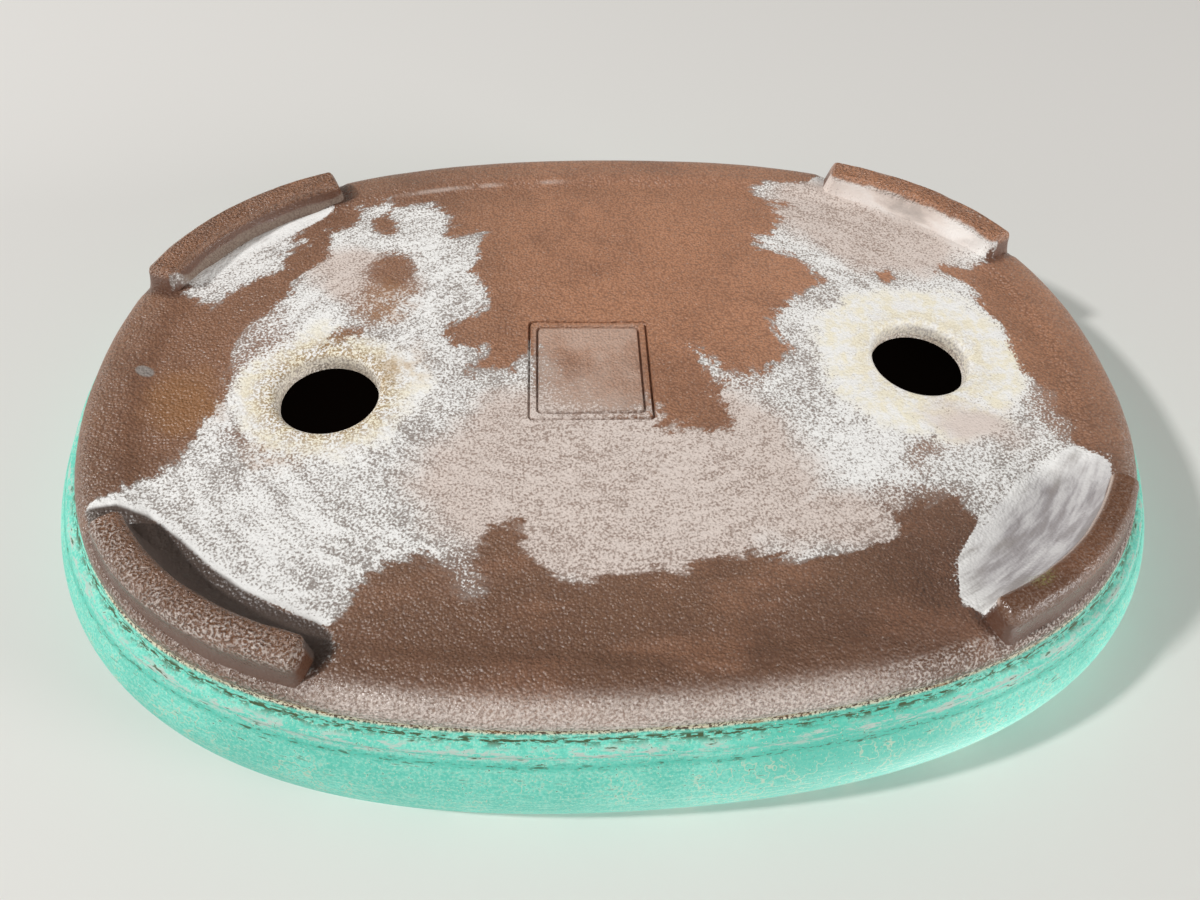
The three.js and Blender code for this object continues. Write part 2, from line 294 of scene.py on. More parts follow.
# Soft tints in millimetres: middle, half length, half width, turn in degrees.
HAZE = (
    ("middle", 2, -36, 60, 38, 0),
    ("left of the middle", -50, -54, 34, 12, 0),
    ("along the back left foot", -92, 66, 40, 24, 30),
    ("above the right drain", 76, 46, 22, 14, 20),
    ("in front of the left drain", -100, -24, 18, 9, 20),
)
COOL = (
    ("hollow behind the front left foot", -110, -62, 36, 14, -40),
)
CREAM = (
    ("left drain", -92, 2, 34, 34, 0),
    ("right drain", 83, -4, 27, 27, 0),
)
RUST = (
    ("beside the right drain", 64, 3, 7, 12, 20),
    ("right end", 122, -6, 13, 13, 0),
    ("brown veil", 67, 33, 9, 10, 0),
    ("in front of the right drain", 97, -27, 8, 5, 25),
)
BROKEN = (
    ("left end", -128, -21, 10, 16, 0),
    ("right of the right drain", 104, 12, 11, 20, 0),
    ("above the right drain", 68, 38, 12, 17, 10),
    ("front right", 44, -67, 9, 9, 0),
    ("front left", -78, -48, 16, 7, 0),
    ("below the left drain", -84, -34, 12, 5, -25),
    ("below the right drain", 98, -22, 16, 6, 35),
    ("beside the tongue", -35, -5, 9, 4, 0),
    ("pressed square", 8, 1, 20, 19, 0),
    ("speckled by the right end", 105, -20, 9, 7, 30),
    ("scratch above the right drain", 91, 30, 8, 2, -38),
)
CHIP = (("right end", 135, 5.4, 2.4, 1.8, 20),)
TUFT = (("front left foot", -97, -79, 5, 3, -40),)
# Painted shadow: a darker patch on the front left of the glazed belly.
GLAZE_SHADOW = (("front left", -46, -108, 30, 16, 0),)
STAIN = (("front groove", -7.3, -108, 0.6, 4, 0), ("front groove", -10.1, -108, 0.7, 4, 0))


def sizes():
    return bpy.context.scene.pot_sizes


def colours():
    return bpy.context.scene.pot_colours


# Modelling helpers.
def set_mode(mode):
    bpy.ops.object.mode_set(mode=mode)


def clear_selection():
    if bpy.context.mode != "OBJECT":
        set_mode("OBJECT")
    bpy.ops.object.select_all(action="DESELECT")


def select_only(piece):
    clear_selection()
    piece.select_set(True)
    bpy.context.view_layer.objects.active = piece


def select_all(action="SELECT"):
    bpy.ops.mesh.select_all(action=action)


def mesh_edit(piece, action="DESELECT"):
    """Opens one piece for editing by its vertices, with none or all of them selected."""
    select_only(piece)
    set_mode("EDIT")
    bpy.ops.mesh.select_mode(type="VERT")
    select_all(action)


def extrude_up(rise):
    bpy.ops.mesh.extrude_region_move(TRANSFORM_OT_translate={"value": (0.0, 0.0, rise)})


def settle():
    """Takes the place of the active object into its mesh."""
    bpy.ops.object.transform_apply(location=True, rotation=True, scale=True)


def places(piece):
    """Positions of a piece's vertices as rows of x, y, z."""
    rows = np.empty(len(piece.data.vertices) * 3)
    piece.data.vertices.foreach_get("co", rows)
    return rows.reshape(-1, 3)


def pick(piece, chosen):
    """Selects the vertices that a mask names, and leaves the piece open for editing."""
    mesh_edit(piece)
    set_mode("OBJECT")
    piece.data.vertices.foreach_set("select", chosen)
    set_mode("EDIT")


def use(piece, kind, **settings):
    """Puts a modifier on a piece and applies it."""
    modifier = piece.modifiers.new(kind.lower(), kind)
    for name, value in settings.items():
        setattr(modifier, name, value)
    select_only(piece)
    bpy.ops.object.modifier_apply(modifier=modifier.name)


def close_up(piece):
    """Merges doubled points and turns all faces outwards."""
    mesh_edit(piece, "SELECT")
    bpy.ops.mesh.remove_doubles(threshold=0.002 * MM)
    bpy.ops.mesh.normals_make_consistent(inside=False)
    set_mode("OBJECT")


def cut_out(piece, cutter):
    """Takes a cutter's shape out of a piece, and removes the cutter."""
    use(piece, "BOOLEAN", operation="DIFFERENCE", solver="EXACT", object=cutter)
    bpy.data.objects.remove(cutter)


def ripple(piece, size, strength):
    """Makes a surface uneven, as clay shaped by hand is."""
    cloud = bpy.data.textures.new(piece.name + "_ripple", "CLOUDS")
    cloud.noise_scale = size
    use(piece, "DISPLACE", texture=cloud, texture_coords="LOCAL", strength=strength, mid_level=0.5)


def eased(share):
    """Smooth step of values from nothing to one."""
    share = np.clip(share, 0.0, 1.0)
    return share * share * (3 - 2 * share)


def oval_path(name):
    """Closed curve along the outline of the floor, clockwise seen from above, from the front."""
    size = sizes()
    clear_selection()
    bpy.ops.curve.primitive_bezier_circle_add(radius=1.0, location=(0.0, 0.0, 0.0))
    path = bpy.context.object
    path.name = name
    set_mode("EDIT")
    bpy.ops.curve.select_all(action="SELECT")
    half = (size.base_length / 2, size.base_width / 2, 1.0)
    bpy.ops.transform.resize(value=half, center_override=ORIGIN)
    set_mode("OBJECT")
    stretch = size.fullness / ROUND_HANDLE
    for point in path.data.splines[0].bezier_points:
        point.handle_left_type = "FREE"
        point.handle_right_type = "FREE"
        point.handle_left = point.co + (point.handle_left - point.co) * stretch
        point.handle_right = point.co + (point.handle_right - point.co) * stretch
    path.data.resolution_u = size.steps
    path.data.twist_mode = "Z_UP"
    return path


def outline_points():
    """Points along the outline of the floor from the front middle, as rows of x, y."""
    oval_path("outline_guide")
    bpy.ops.object.convert(target="MESH")
    rows = places(bpy.context.object)[:, :2]
    bpy.data.objects.remove(bpy.context.object)
    return np.roll(rows, sizes().steps, axis=0)


def beside_outline(rows, outline):
    """How far along an outline and how far from it points lie, seen from above."""
    run = np.roll(outline, -1, axis=0) - outline
    lengths = np.hypot(*run.T)
    nearest = np.full(len(rows), 1e9)
    along = np.zeros(len(rows))
    passed = 0.0
    for start, step, length in zip(outline, run, lengths):
        away = rows[:, :2] - start
        share = np.clip((away @ step) / length**2, 0.0, 1.0)
        gap = np.hypot(*(away - share[:, None] * step).T)
        along = np.where(gap < nearest, passed + share * length, along)
        nearest = np.minimum(nearest, gap)
        passed += length
    return along, nearest


def from_edge(rows, outline):
    """How far points lie from an outline, seen from above."""
    return beside_outline(rows, outline)[1]


def outline_quarter(outline):
    """Quarter of the length of an outline."""
    return np.hypot(*(np.roll(outline, -1, axis=0) - outline).T).sum() / 4


def foot_start(name, quarter):
    """Where a foot begins along the outline."""
    end, way, start, length = FOOT_RUNS[name][:4]
    return end * quarter + (start if way > 0 else -start - length)


def within(rows, outline):
    """How far points lie inside an outline in millimetres, below nothing outside it."""
    outline = np.array(outline) * MM
    odd = np.zeros(len(rows), bool)
    for (ax, ay), (bx, by) in zip(outline, np.roll(outline, -1, axis=0)):
        if ay != by:
            crossing = ax + (rows[:, 1] - ay) * (bx - ax) / (by - ay)
            odd ^= ((rows[:, 1] < ay) != (rows[:, 1] < by)) & (rows[:, 0] < crossing)
    return from_edge(rows, outline) * np.where(odd, 1.0, -1.0)


def note(piece, name, values):
    """Keeps a value for each vertex, for the materials to read."""
    mark = piece.data.attributes.new(name, "FLOAT", "POINT")
    mark.data.foreach_set("value", np.asarray(values, np.float32))


def from_feet(along, inside, quarter):
    """How far from the nearest foot points lie, from their places beside the outline."""
    nearest = np.full(len(along), 1.0)
    for name in FEET:
        _, _, _, length, outer, inner, _ = FOOT_RUNS[name]
        past = along - foot_start(name, quarter)
        past = np.maximum(np.maximum(-past, past - length), 0.0)
        aside = np.maximum(np.maximum(outer - inside, inside - inner), 0.0)
        nearest = np.minimum(nearest, np.hypot(past, aside))
    return nearest


def mark_surface(piece, outline):
    """Notes where each vertex lies from the outline, the feet, the crust and the hollows."""
    rows = places(piece)
    crust = np.maximum(within(rows, CRUST), within(rows, STRIP))
    for spot in BARE:
        crust = np.minimum(crust, -within(rows, spot))
    along, inside = beside_outline(rows, outline)
    # The crust thins out slowly over the pressed square.
    aside = np.abs(rows[:, :2] - SQUARE_PLACE) - (0.0, sizes().square_tall / 2)
    crust = np.where(aside.max(axis=1) < sizes().square / 2, crust * 0.3, crust)
    away = [np.hypot(rows[:, 0] - x, rows[:, 1] - y) for x, y in DRAINS]
    note(piece, "from_drain", np.min(away, axis=0) - sizes().drain / 2)
    note(piece, "from_edge", inside)
    note(piece, "from_foot", from_feet(along, inside, outline_quarter(outline)))
    note(piece, "crust", np.where(rows[:, 2] < FLOOR_HIGH.z - 2 * MM, crust, -20 * MM))
    note(piece, "hollow", np.max([within(rows, each) for each in HOLLOWS], axis=0))


def swept_piece(name, section):
    """Carries a closed section around the oval. Its points are (outward offset, height)."""
    path = oval_path(name)
    line = bpy.data.curves.new(name + "_section", "CURVE")
    line.dimensions = "2D"
    spline = line.splines.new("POLY")
    spline.points.add(len(section) - 1)
    for point, (offset, height) in zip(spline.points, section):
        point.co = (-offset, height, 0.0, 1.0)
    spline.use_cyclic_u = True
    holder = bpy.data.objects.new(line.name, line)
    bpy.context.collection.objects.link(holder)
    path.data.bevel_mode = "OBJECT"
    path.data.bevel_object = holder
    bpy.ops.object.convert(target="MESH")
    piece = bpy.context.object
    bpy.data.objects.remove(holder)
    close_up(piece)
    return piece


def arc(centre, radius, start, end, steps):
    """Points along a round, from one angle to another in degrees."""
    points = []
    for i in range(steps + 1):
        angle = math.radians(start + (end - start) * i / steps)
        points.append((centre[0] + radius * math.cos(angle), centre[1] + radius * math.sin(angle)))
    return points


def wall_face(height):
    """Outward offset of the wall's outer face at a height."""
    rise = height - WALL_LOW.z
    if rise < BELLY_RISE:
        swell = math.sin(math.pi / 2 * rise / BELLY_RISE)
        return WALL_FOOT_OFFSET + (BELLY_OFFSET - WALL_FOOT_OFFSET) * swell
    share = (rise - BELLY_RISE) / (RIM_HIGH.z - WALL_LOW.z - BELLY_RISE)
    return BELLY_OFFSET - (BELLY_OFFSET - RIM_OFFSET) * (1 - math.cos(math.pi / 2 * share))


def wall_points(low, high, steps, shift):
    points = []
    for i in range(steps + 1):
        height = low + (high - low) * i / steps
        points.append((wall_face(height) + shift, height))
    return points


def rim_round(steps):
    """Points over the top of the rim, from its outer side to its inner side."""
    outer = wall_face(RIM_HIGH.z)
    inner = wall_face(RIM_LOW.z) - RIM_THICKNESS
    top = RIM_HIGH.z - RIM_ROUND
    points = arc((outer - RIM_ROUND, top), RIM_ROUND, 0, 90, steps)
    return points + arc((inner + RIM_ROUND, top), RIM_ROUND, 90, 180, steps)


def hand_over(piece, node, slot, *materials):
    """Gives a finished piece its smooth shading, its materials and its body, and hides the CAD node that
    it stands for.
    """
    select_only(piece)
    bpy.ops.object.shade_smooth_by_angle(angle=math.radians(38))
    piece.data.materials.clear()
    for material in materials:
        piece.data.materials.append(material)
    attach(piece, "root")
    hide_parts(node)


# Shader boards.
class Board:
    """A node tree with short ways to place nodes and join them."""

    def __init__(self, tree):
        self.tree = tree

    def node(self, kind, inputs=None, **settings):
        """Places a node, sets it up and feeds its inputs."""
        node = self.tree.nodes.new(kind)
        for name, value in settings.items():
            setattr(node, name, value)
        for socket, value in (inputs or {}).items():
            self.feed(node.inputs[socket], value)
        return node

    def feed(self, socket, value):
        if isinstance(value, bpy.types.NodeSocket):
            self.tree.links.new(value, socket)
        elif socket.type == "RGBA" and len(value) == 3:
            socket.default_value = (*value, 1.0)
        else:
            socket.default_value = value

    def math(self, operation, *values, clamp=False):
        given = dict(enumerate(values))
        return self.node("ShaderNodeMath", given, operation=operation, use_clamp=clamp).outputs[0]

    def times(self, first, *others):
        """Product of several values."""
        for other in others:
            first = self.math("MULTIPLY", first, other)
        return first

    def add(self, value, factor, more):
        """A value times a factor, plus more."""
        return self.math("MULTIPLY_ADD", value, factor, more)

    def less(self, value, taken):
        return self.math("SUBTRACT", value, taken)

    def most(self, first, second):
        return self.math("MAXIMUM", first, second)

    def ease(self, value, low, high, first=0.0, last=1.0):
        """Smooth step of a value between two limits."""
        given = dict(enumerate((value, low, high, first, last)))
        return self.node("ShaderNodeMapRange", given, interpolation_type="SMOOTHSTEP").outputs[0]

    def band(self, value, middle, half, soft):
        """One inside a band of values and nothing outside it."""
        away = self.math("ABSOLUTE", self.less(value, middle))
        return self.ease(away, half + soft, half - soft)

    def blend(self, share, first, second):
        given = {0: share, 6: first, 7: second}
        return self.node("ShaderNodeMix", given, data_type="RGBA", clamp_factor=True).outputs[2]

    def coat(self, base, *layers):
        """Lays colours over a base, each by the share that it covers."""
        for share, colour in layers:
            base = self.blend(share, base, colour)
        return base

    def noise(self, place, scale, detail=2.0, rough=0.5, stretch=None):
        if stretch is not None:
            place = self.node("ShaderNodeMapping", {"Vector": place, "Scale": stretch}).outputs[0]
        given = {"Vector": place, "Scale": scale, "Detail": detail, "Roughness": rough}
        return self.node("ShaderNodeTexNoise", given).outputs["Fac"]

    def pebbles(self, place, scale, smooth):
        """Distance from the middle of the nearest of many small cells."""
        given = {"Vector": place, "Scale": scale, "Smoothness": smooth}
        return self.node("ShaderNodeTexVoronoi", given, feature="SMOOTH_F1").outputs["Distance"]

    def place(self):
        return self.node("ShaderNodeTexCoord").outputs["Object"]

    def parts(self, place):
        return self.node("ShaderNodeSeparateXYZ", {0: place}).outputs

    def length(self, vector):
        return self.node("ShaderNodeVectorMath", {0: vector}, operation="LENGTH").outputs["Value"]

    def mark(self, name):
        """A value that the piece keeps for each vertex."""
        return self.node("ShaderNodeAttribute", attribute_name=name).outputs["Fac"]

    def group(self, tree, **values):
        return self.node("ShaderNodeGroup", values, node_tree=tree).outputs


def new_group(name, inputs, outputs):
    """An empty shader group with named values in and out, its board and its two ends."""
    tree = bpy.data.node_groups.new(name, "ShaderNodeTree")
    for way, labels in (("INPUT", inputs), ("OUTPUT", outputs)):
        for label in labels:
            tree.interface.new_socket(label, in_out=way, socket_type="NodeSocketFloat")
    board = Board(tree)
    return tree, board, board.node("NodeGroupInput"), board.node("NodeGroupOutput")


def clay_grain_group():
    """Grain of the clay: fine relief, coarser leathery relief, pits, specks and broad blotches."""
    found = bpy.data.node_groups.get("Clay Grain")
    if found:
        return found
    names = ("Height", "Leather", "Glint", "Pits", "Speck", "Blotch")
    tree, board, _, out = new_group("Clay Grain", (), names)
    place = board.place()
    pits = board.pebbles(place, 1250.0, 0.5)
    # The heights keep close to zero on average, so that a mask over them leaves no step.
    broad = board.add(board.noise(place, 60.0), 2.4, -1.06)
    fine = board.less(board.noise(place, 700.0), 0.5)
    leather = board.add(board.pebbles(place, 1300.0, 0.4), -0.35, broad)
    rough = board.ease(board.noise(place, 140.0), 0.3, 0.65, 0.5, 1.0)
    wrinkle = board.noise(place, 1400.0, 1.5)
    values = (
        board.add(fine, 0.45, board.add(pits, -0.4, broad)),
        board.add(rough, board.less(wrinkle, 0.5), leather),
        board.times(board.ease(wrinkle, 0.42, 0.68), rough),
        board.ease(pits, 0.3, 0.75),
        board.noise(place, 1500.0, 2.0, 0.6),
        board.noise(place, 45.0, 4.0, 0.6),
    )
    for name, value in zip(names, values):
        board.feed(out.inputs[name], value)
    return tree


def patch_field(board, place, patches):
    """How far inside the nearest of several oval patches a point lies, in millimetres."""
    field = None
    for _, x, y, half_x, half_y, turn in patches:
        given = {
            "Vector": place,
            "Location": (x * MM, y * MM, 0.0),
            "Rotation": (0.0, 0.0, math.radians(turn)),
            "Scale": (half_x * MM, half_y * MM, ANY_HEIGHT),
        }
        mapping = board.node("ShaderNodeMapping", given, vector_type="TEXTURE")
        least = min(half_x, half_y)
        inside = board.add(board.length(mapping.outputs[0]), -least, least)
        field = inside if field is None else board.most(field, inside)
    return field


def smear_field(board, place):
    """Streaks that run around the oval, as if the crust were wiped along its edge."""
    across, along, _ = board.parts(place)
    across = board.math("DIVIDE", across, sizes().base_length / 2)
    along = board.math("DIVIDE", along, sizes().base_width / 2)
    reach = board.math("SQRT", board.math("ADD", board.times(across, across), board.times(along, along)))
    given = {
        0: board.times(board.math("DIVIDE", across, reach), SMEAR_AROUND),
        1: board.times(board.math("DIVIDE", along, reach), SMEAR_AROUND),
        2: board.times(reach, SMEAR_INWARDS),
    }
    return board.noise(board.node("ShaderNodeCombineXYZ", given).outputs[0], 1.0, 4.0, 0.6)


def crust_group():
    """How thick the mineral crust lies, and where it is tinted or broken up."""
    found = bpy.data.node_groups.get("Mineral Crust")
    if found:
        return found
    tints = {"Haze": HAZE, "Cool": COOL, "Cream": CREAM, "Rust": RUST, "Broken": BROKEN}
    outputs = ("Cover", "Smear", *tints)
    tree, board, given, out = new_group("Mineral Crust", ("Inside", "Hollow"), outputs)
    place = board.place()
    smear = smear_field(board, place)
    board.feed(out.inputs["Smear"], smear)
    # The edges of the tints wander by up to this much each way.
    stray = 10 * MM
    warp = board.node("ShaderNodeTexNoise", {"Vector": place, "Scale": 60.0, "Detail": 4.0})
    inputs = {0: warp.outputs["Color"], 1: (2 * stray, 2 * stray, 0.0), 2: place}
    shift = board.node("ShaderNodeVectorMath", inputs, operation="MULTIPLY_ADD")
    inputs = {0: shift.outputs[0], 1: (stray, stray, 0.0)}
    back = board.node("ShaderNodeVectorMath", inputs, operation="SUBTRACT")
    fields = {}
    for name, patches in tints.items():
        fields[name] = board.ease(patch_field(board, back.outputs[0], patches), -2.0, 7.0)
        board.feed(out.inputs[name], fields[name])
    # The edge of the crust wanders, except along the rim of a hollow.
    free = board.ease(given.outputs["Hollow"], -2.0 * MM, -5.0 * MM)
    wide = board.less(board.noise(place, 90.0, 3.0, 0.55), 0.5)
    close = board.less(board.noise(place, 420.0, 3.0, 0.6), 0.5)
    wide = board.add(board.less(smear, 0.5), 1.5, wide)
    wander = board.times(board.add(close, 0.45, wide), free, 9 * MM)
    ragged = board.math("ADD", given.outputs["Inside"], wander)
    soft = board.add(fields["Broken"], 3.0 * MM, board.add(free, 2.4 * MM, 0.6 * MM))
    board.feed(out.inputs["Cover"], board.ease(board.math("DIVIDE", ragged, soft), -0.8, 1.0))
    return tree


def fresh_material(name):
    material = bpy.data.materials.new(name)
    material.use_nodes = True
    return material, Board(material.node_tree), material.node_tree.nodes["Principled BSDF"]


def give_bump(board, shader, height, distance):
    bump = board.node("ShaderNodeBump", {"Strength": 1.0, "Distance": distance, "Height": height})
    board.feed(shader.inputs["Normal"], bump.outputs[0])


def clay_colour(board, colour, grain, place):
    """Brown of the fired clay: lighter towards the back, blotched and finely grained, with painted light
    on its undulations and painted shade on the side that the key lamp lights.
    """
    across, along, _ = board.parts(place)
    # Painted light and shade: broad lighter diagonal stripes stand for the light on the clay's
    # undulations.
    painted_wave_light = board.noise(place, 1.0, stretch=(30.0, 75.0, 30.0))
    left = board.ease(across, -30 * MM, -90 * MM, 0.0, 0.4)
    return board.coat(
        colour.front_clay,
        (board.ease(along, -75 * MM, 30 * MM), colour.clay),
        (board.ease(grain["Blotch"], 0.6, 0.3, 0.0, 0.3), colour.dark_clay_and_shade),
        (board.ease(painted_wave_light, 0.46, 0.66, 0.0, 0.32), colour.clay),
        # Painted shade: darker towards +x, on the side where the key lamp falls.
        (board.ease(across, 0.0, 70 * MM, 0.0, 0.6), colour.front_clay),
        (board.times(left, board.ease(along, -30 * MM, -60 * MM)), colour.dark_clay_and_shade),
        (board.times(grain["Pits"], 0.42), colour.dark_clay_and_shade),
        # Pale specks on the grain: partly wear, partly painted glints.
        (board.ease(grain["Speck"], 0.58, 0.74, 0.0, 0.4), colour.pale_wear_and_glint),
    )


def crusted_colour(board, colour, grain, crust, brown, place, hollow):
    """Lays the white crust over a brown: grains on a thin film, thinning out towards its edge."""
    cover, haze, smear = crust["Cover"], crust["Haze"], crust["Smear"]
    calm = board.ease(hollow, -4.0 * MM, 2.0 * MM)
    level = board.add(board.less(1.0, cover), 0.4, 0.05)
    shares = (
        (haze, 0.09),
        (crust["Broken"], 0.1),
        (board.noise(place, 45.0, 4.0, 0.6), board.add(haze, -0.22, 0.42)),
        (smear, 0.38),
        (calm, -0.35),
        (crust["Cream"], -0.22),
    )
    for value, factor in shares:
        level = board.add(value, factor, level)
    grains = board.ease(board.less(grain["Speck"], level), -0.11, 0.14)
    film = board.times(board.ease(cover, 0.3, 1.0), board.add(crust["Broken"], -0.6, 0.92))
    tint = board.ease(board.noise(place, 220.0, 4.0, 0.65), 0.38, 0.62, 0.0, 0.85)
    rust = board.times(crust["Rust"], tint, 0.6)
    white = board.coat(
        colour.crust,
        (board.times(crust["Cream"], tint), colour.cream),
        (haze, colour.haze),
        (crust["Cool"], colour.cool),
        (board.times(calm, board.ease(smear, 0.42, 0.66, 0.0, 0.5)), colour.crust),
        (board.times(calm, board.ease(smear, 0.54, 0.3, 0.0, 0.6)), colour.film),
        (rust, colour.rust),
    )
    grey = board.coat(colour.film, (haze, colour.haze_film), (rust, colour.rust))
    return board.coat(brown, (film, grey), (grains, white))


def corner_mask(board, place, right, back):
    """One in a quarter of the pot and nothing elsewhere."""
    across, along, _ = board.parts(place)
    near = 40 * MM
    reach = near + 12 * MM
    side = board.ease(across, near, reach) if right else board.ease(across, -near, -reach)
    end = board.ease(along, near, near + 4 * MM) if back else board.ease(along, 4 * MM - near, -near)
    return board.times(side, end)


def underside_material():
    """Fired clay of the floor with white crust, haze, dust and stains, and with painted shadow, shade and
    glints.
    """
    colour, size = colours(), sizes()
    material, board, shader = fresh_material("crusted_clay")
    place = board.place()
    across, along, height = board.parts(place)
    grain = board.group(clay_grain_group())
    edge, hollow, drain = board.mark("from_edge"), board.mark("hollow"), board.mark("from_drain")
    crust = board.group(crust_group(), Inside=board.mark("crust"), Hollow=hollow)
    half = size.square / 2 - size.square_band
    field = board.times(
        board.band(across, SQUARE_PLACE[0], half, 1.5 * MM),
        board.band(along, SQUARE_PLACE[1], half + size.square_tall / 2, 1.5 * MM),
    )
    brown = board.coat(
        clay_colour(board, colour, grain, place),
        (board.times(crust["Rust"], 0.4), colour.rust),
        (board.ease(edge, 34 * MM, 10 * MM, 0.0, 0.2), colour.dark_clay_and_shade),
        # Painted shade: the clay darkens close around each foot, where it meets the floor.
        (board.ease(board.mark("from_foot"), 4.0 * MM, 0.8 * MM, 0.0, 0.7), colour.dark_clay_and_shade),
        (board.times(field, board.ease(grain["Blotch"], 0.3, 0.6, 0.1, 0.5)), colour.pale_wear_and_glint),
    )
    # Tan specks ring the drain holes, and their walls are dull.
    ring = board.times(
        board.ease(drain, 13.0 * MM, 1.0 * MM),
        board.ease(grain["Speck"], 0.56, 0.44, 0.0, 0.55),
        board.ease(across, -40 * MM, 40 * MM, 0.4, 1.7),
    )
    panel = FLOOR_LOW.z + size.dish
    deep = board.ease(height, panel, panel + 2.2 * MM)
    wall = board.times(board.ease(drain, 4.0 * MM, 3.0 * MM), deep, 0.85)
    dull = board.blend(board.ease(grain["Speck"], 0.35, 0.6), colour.film, colour.wall)
    # Painted shadow in the hollow behind the front right foot.
    hollow_shadow = board.times(corner_mask(board, place, True, False), board.ease(hollow, -1.0 * MM, 0.4 * MM))
    # Dust lies along the middle of the front edge, and a broken white line in the crease at the back.
    dust = board.times(
        board.ease(edge, 9.5 * MM, -0.5 * MM),
        board.ease(along, -84 * MM, -98 * MM),
        board.band(across, 12 * MM, 66 * MM, 16 * MM),
        board.ease(grain["Speck"], 0.36, 0.66, 0.25, 1.0),
    )
    crease = board.times(
        board.band(edge, 15 * MM, 0.7 * MM, 0.6 * MM),
        board.ease(along, 72 * MM, 84 * MM),
        board.band(across, 38 * MM, 26 * MM, 8 * MM),
        board.ease(board.noise(place, 90.0, 3.0), 0.4, 0.6),
        0.4,
    )
    # Painted glints: pale flecks on the leathery grain where the front edge rolls over stand in for
    # highlights.
    roll = board.ease(edge, 7.0 * MM, 4.0 * MM)
    painted_glints = board.times(
        roll,
        board.ease(along, -20 * MM, -70 * MM, 0.1, 0.45),
        board.ease(across, -40 * MM, -70 * MM, 1.0, 1.7),
        grain["Glint"],
    )
    base = board.coat(
        crusted_colour(board, colour, grain, crust, brown, place, hollow),
        (ring, colour.tan),
        (wall, dull),
        (board.ease(patch_field(board, place, CHIP), -0.4, 0.3), colour.film),
        (hollow_shadow, colour.hollow_shade),
        (dust, colour.haze),
        (crease, colour.haze),
        (painted_glints, colour.haze),
    )
    board.feed(shader.inputs["Base Color"], base)
    shiny = board.times(roll, board.ease(along, -10 * MM, -60 * MM))
    dry = board.most(crust["Cover"], board.times(dust, 0.5))
    board.feed(shader.inputs["Roughness"], board.add(dry, 0.4, board.add(shiny, -0.2, 0.44)))
    shader.inputs["Specular IOR Level"].default_value = CLAY_SPECULAR
    smooth = board.ease(hollow, -1.0 * MM, 4.0 * MM, 1.0, 0.4)
    smooth = board.times(smooth, board.ease(crust["Cover"], 0.2, 0.9, 1.0, 0.6))
    fine = board.times(grain["Height"], smooth)
    coarse = board.times(grain["Leather"], board.add(dust, -0.3, 0.8))
    relief = board.node("ShaderNodeMix", {0: roll, 2: fine, 3: coarse}, data_type="FLOAT")
    give_bump(board, shader, relief.outputs[0], 1.0 * MM)
    return material


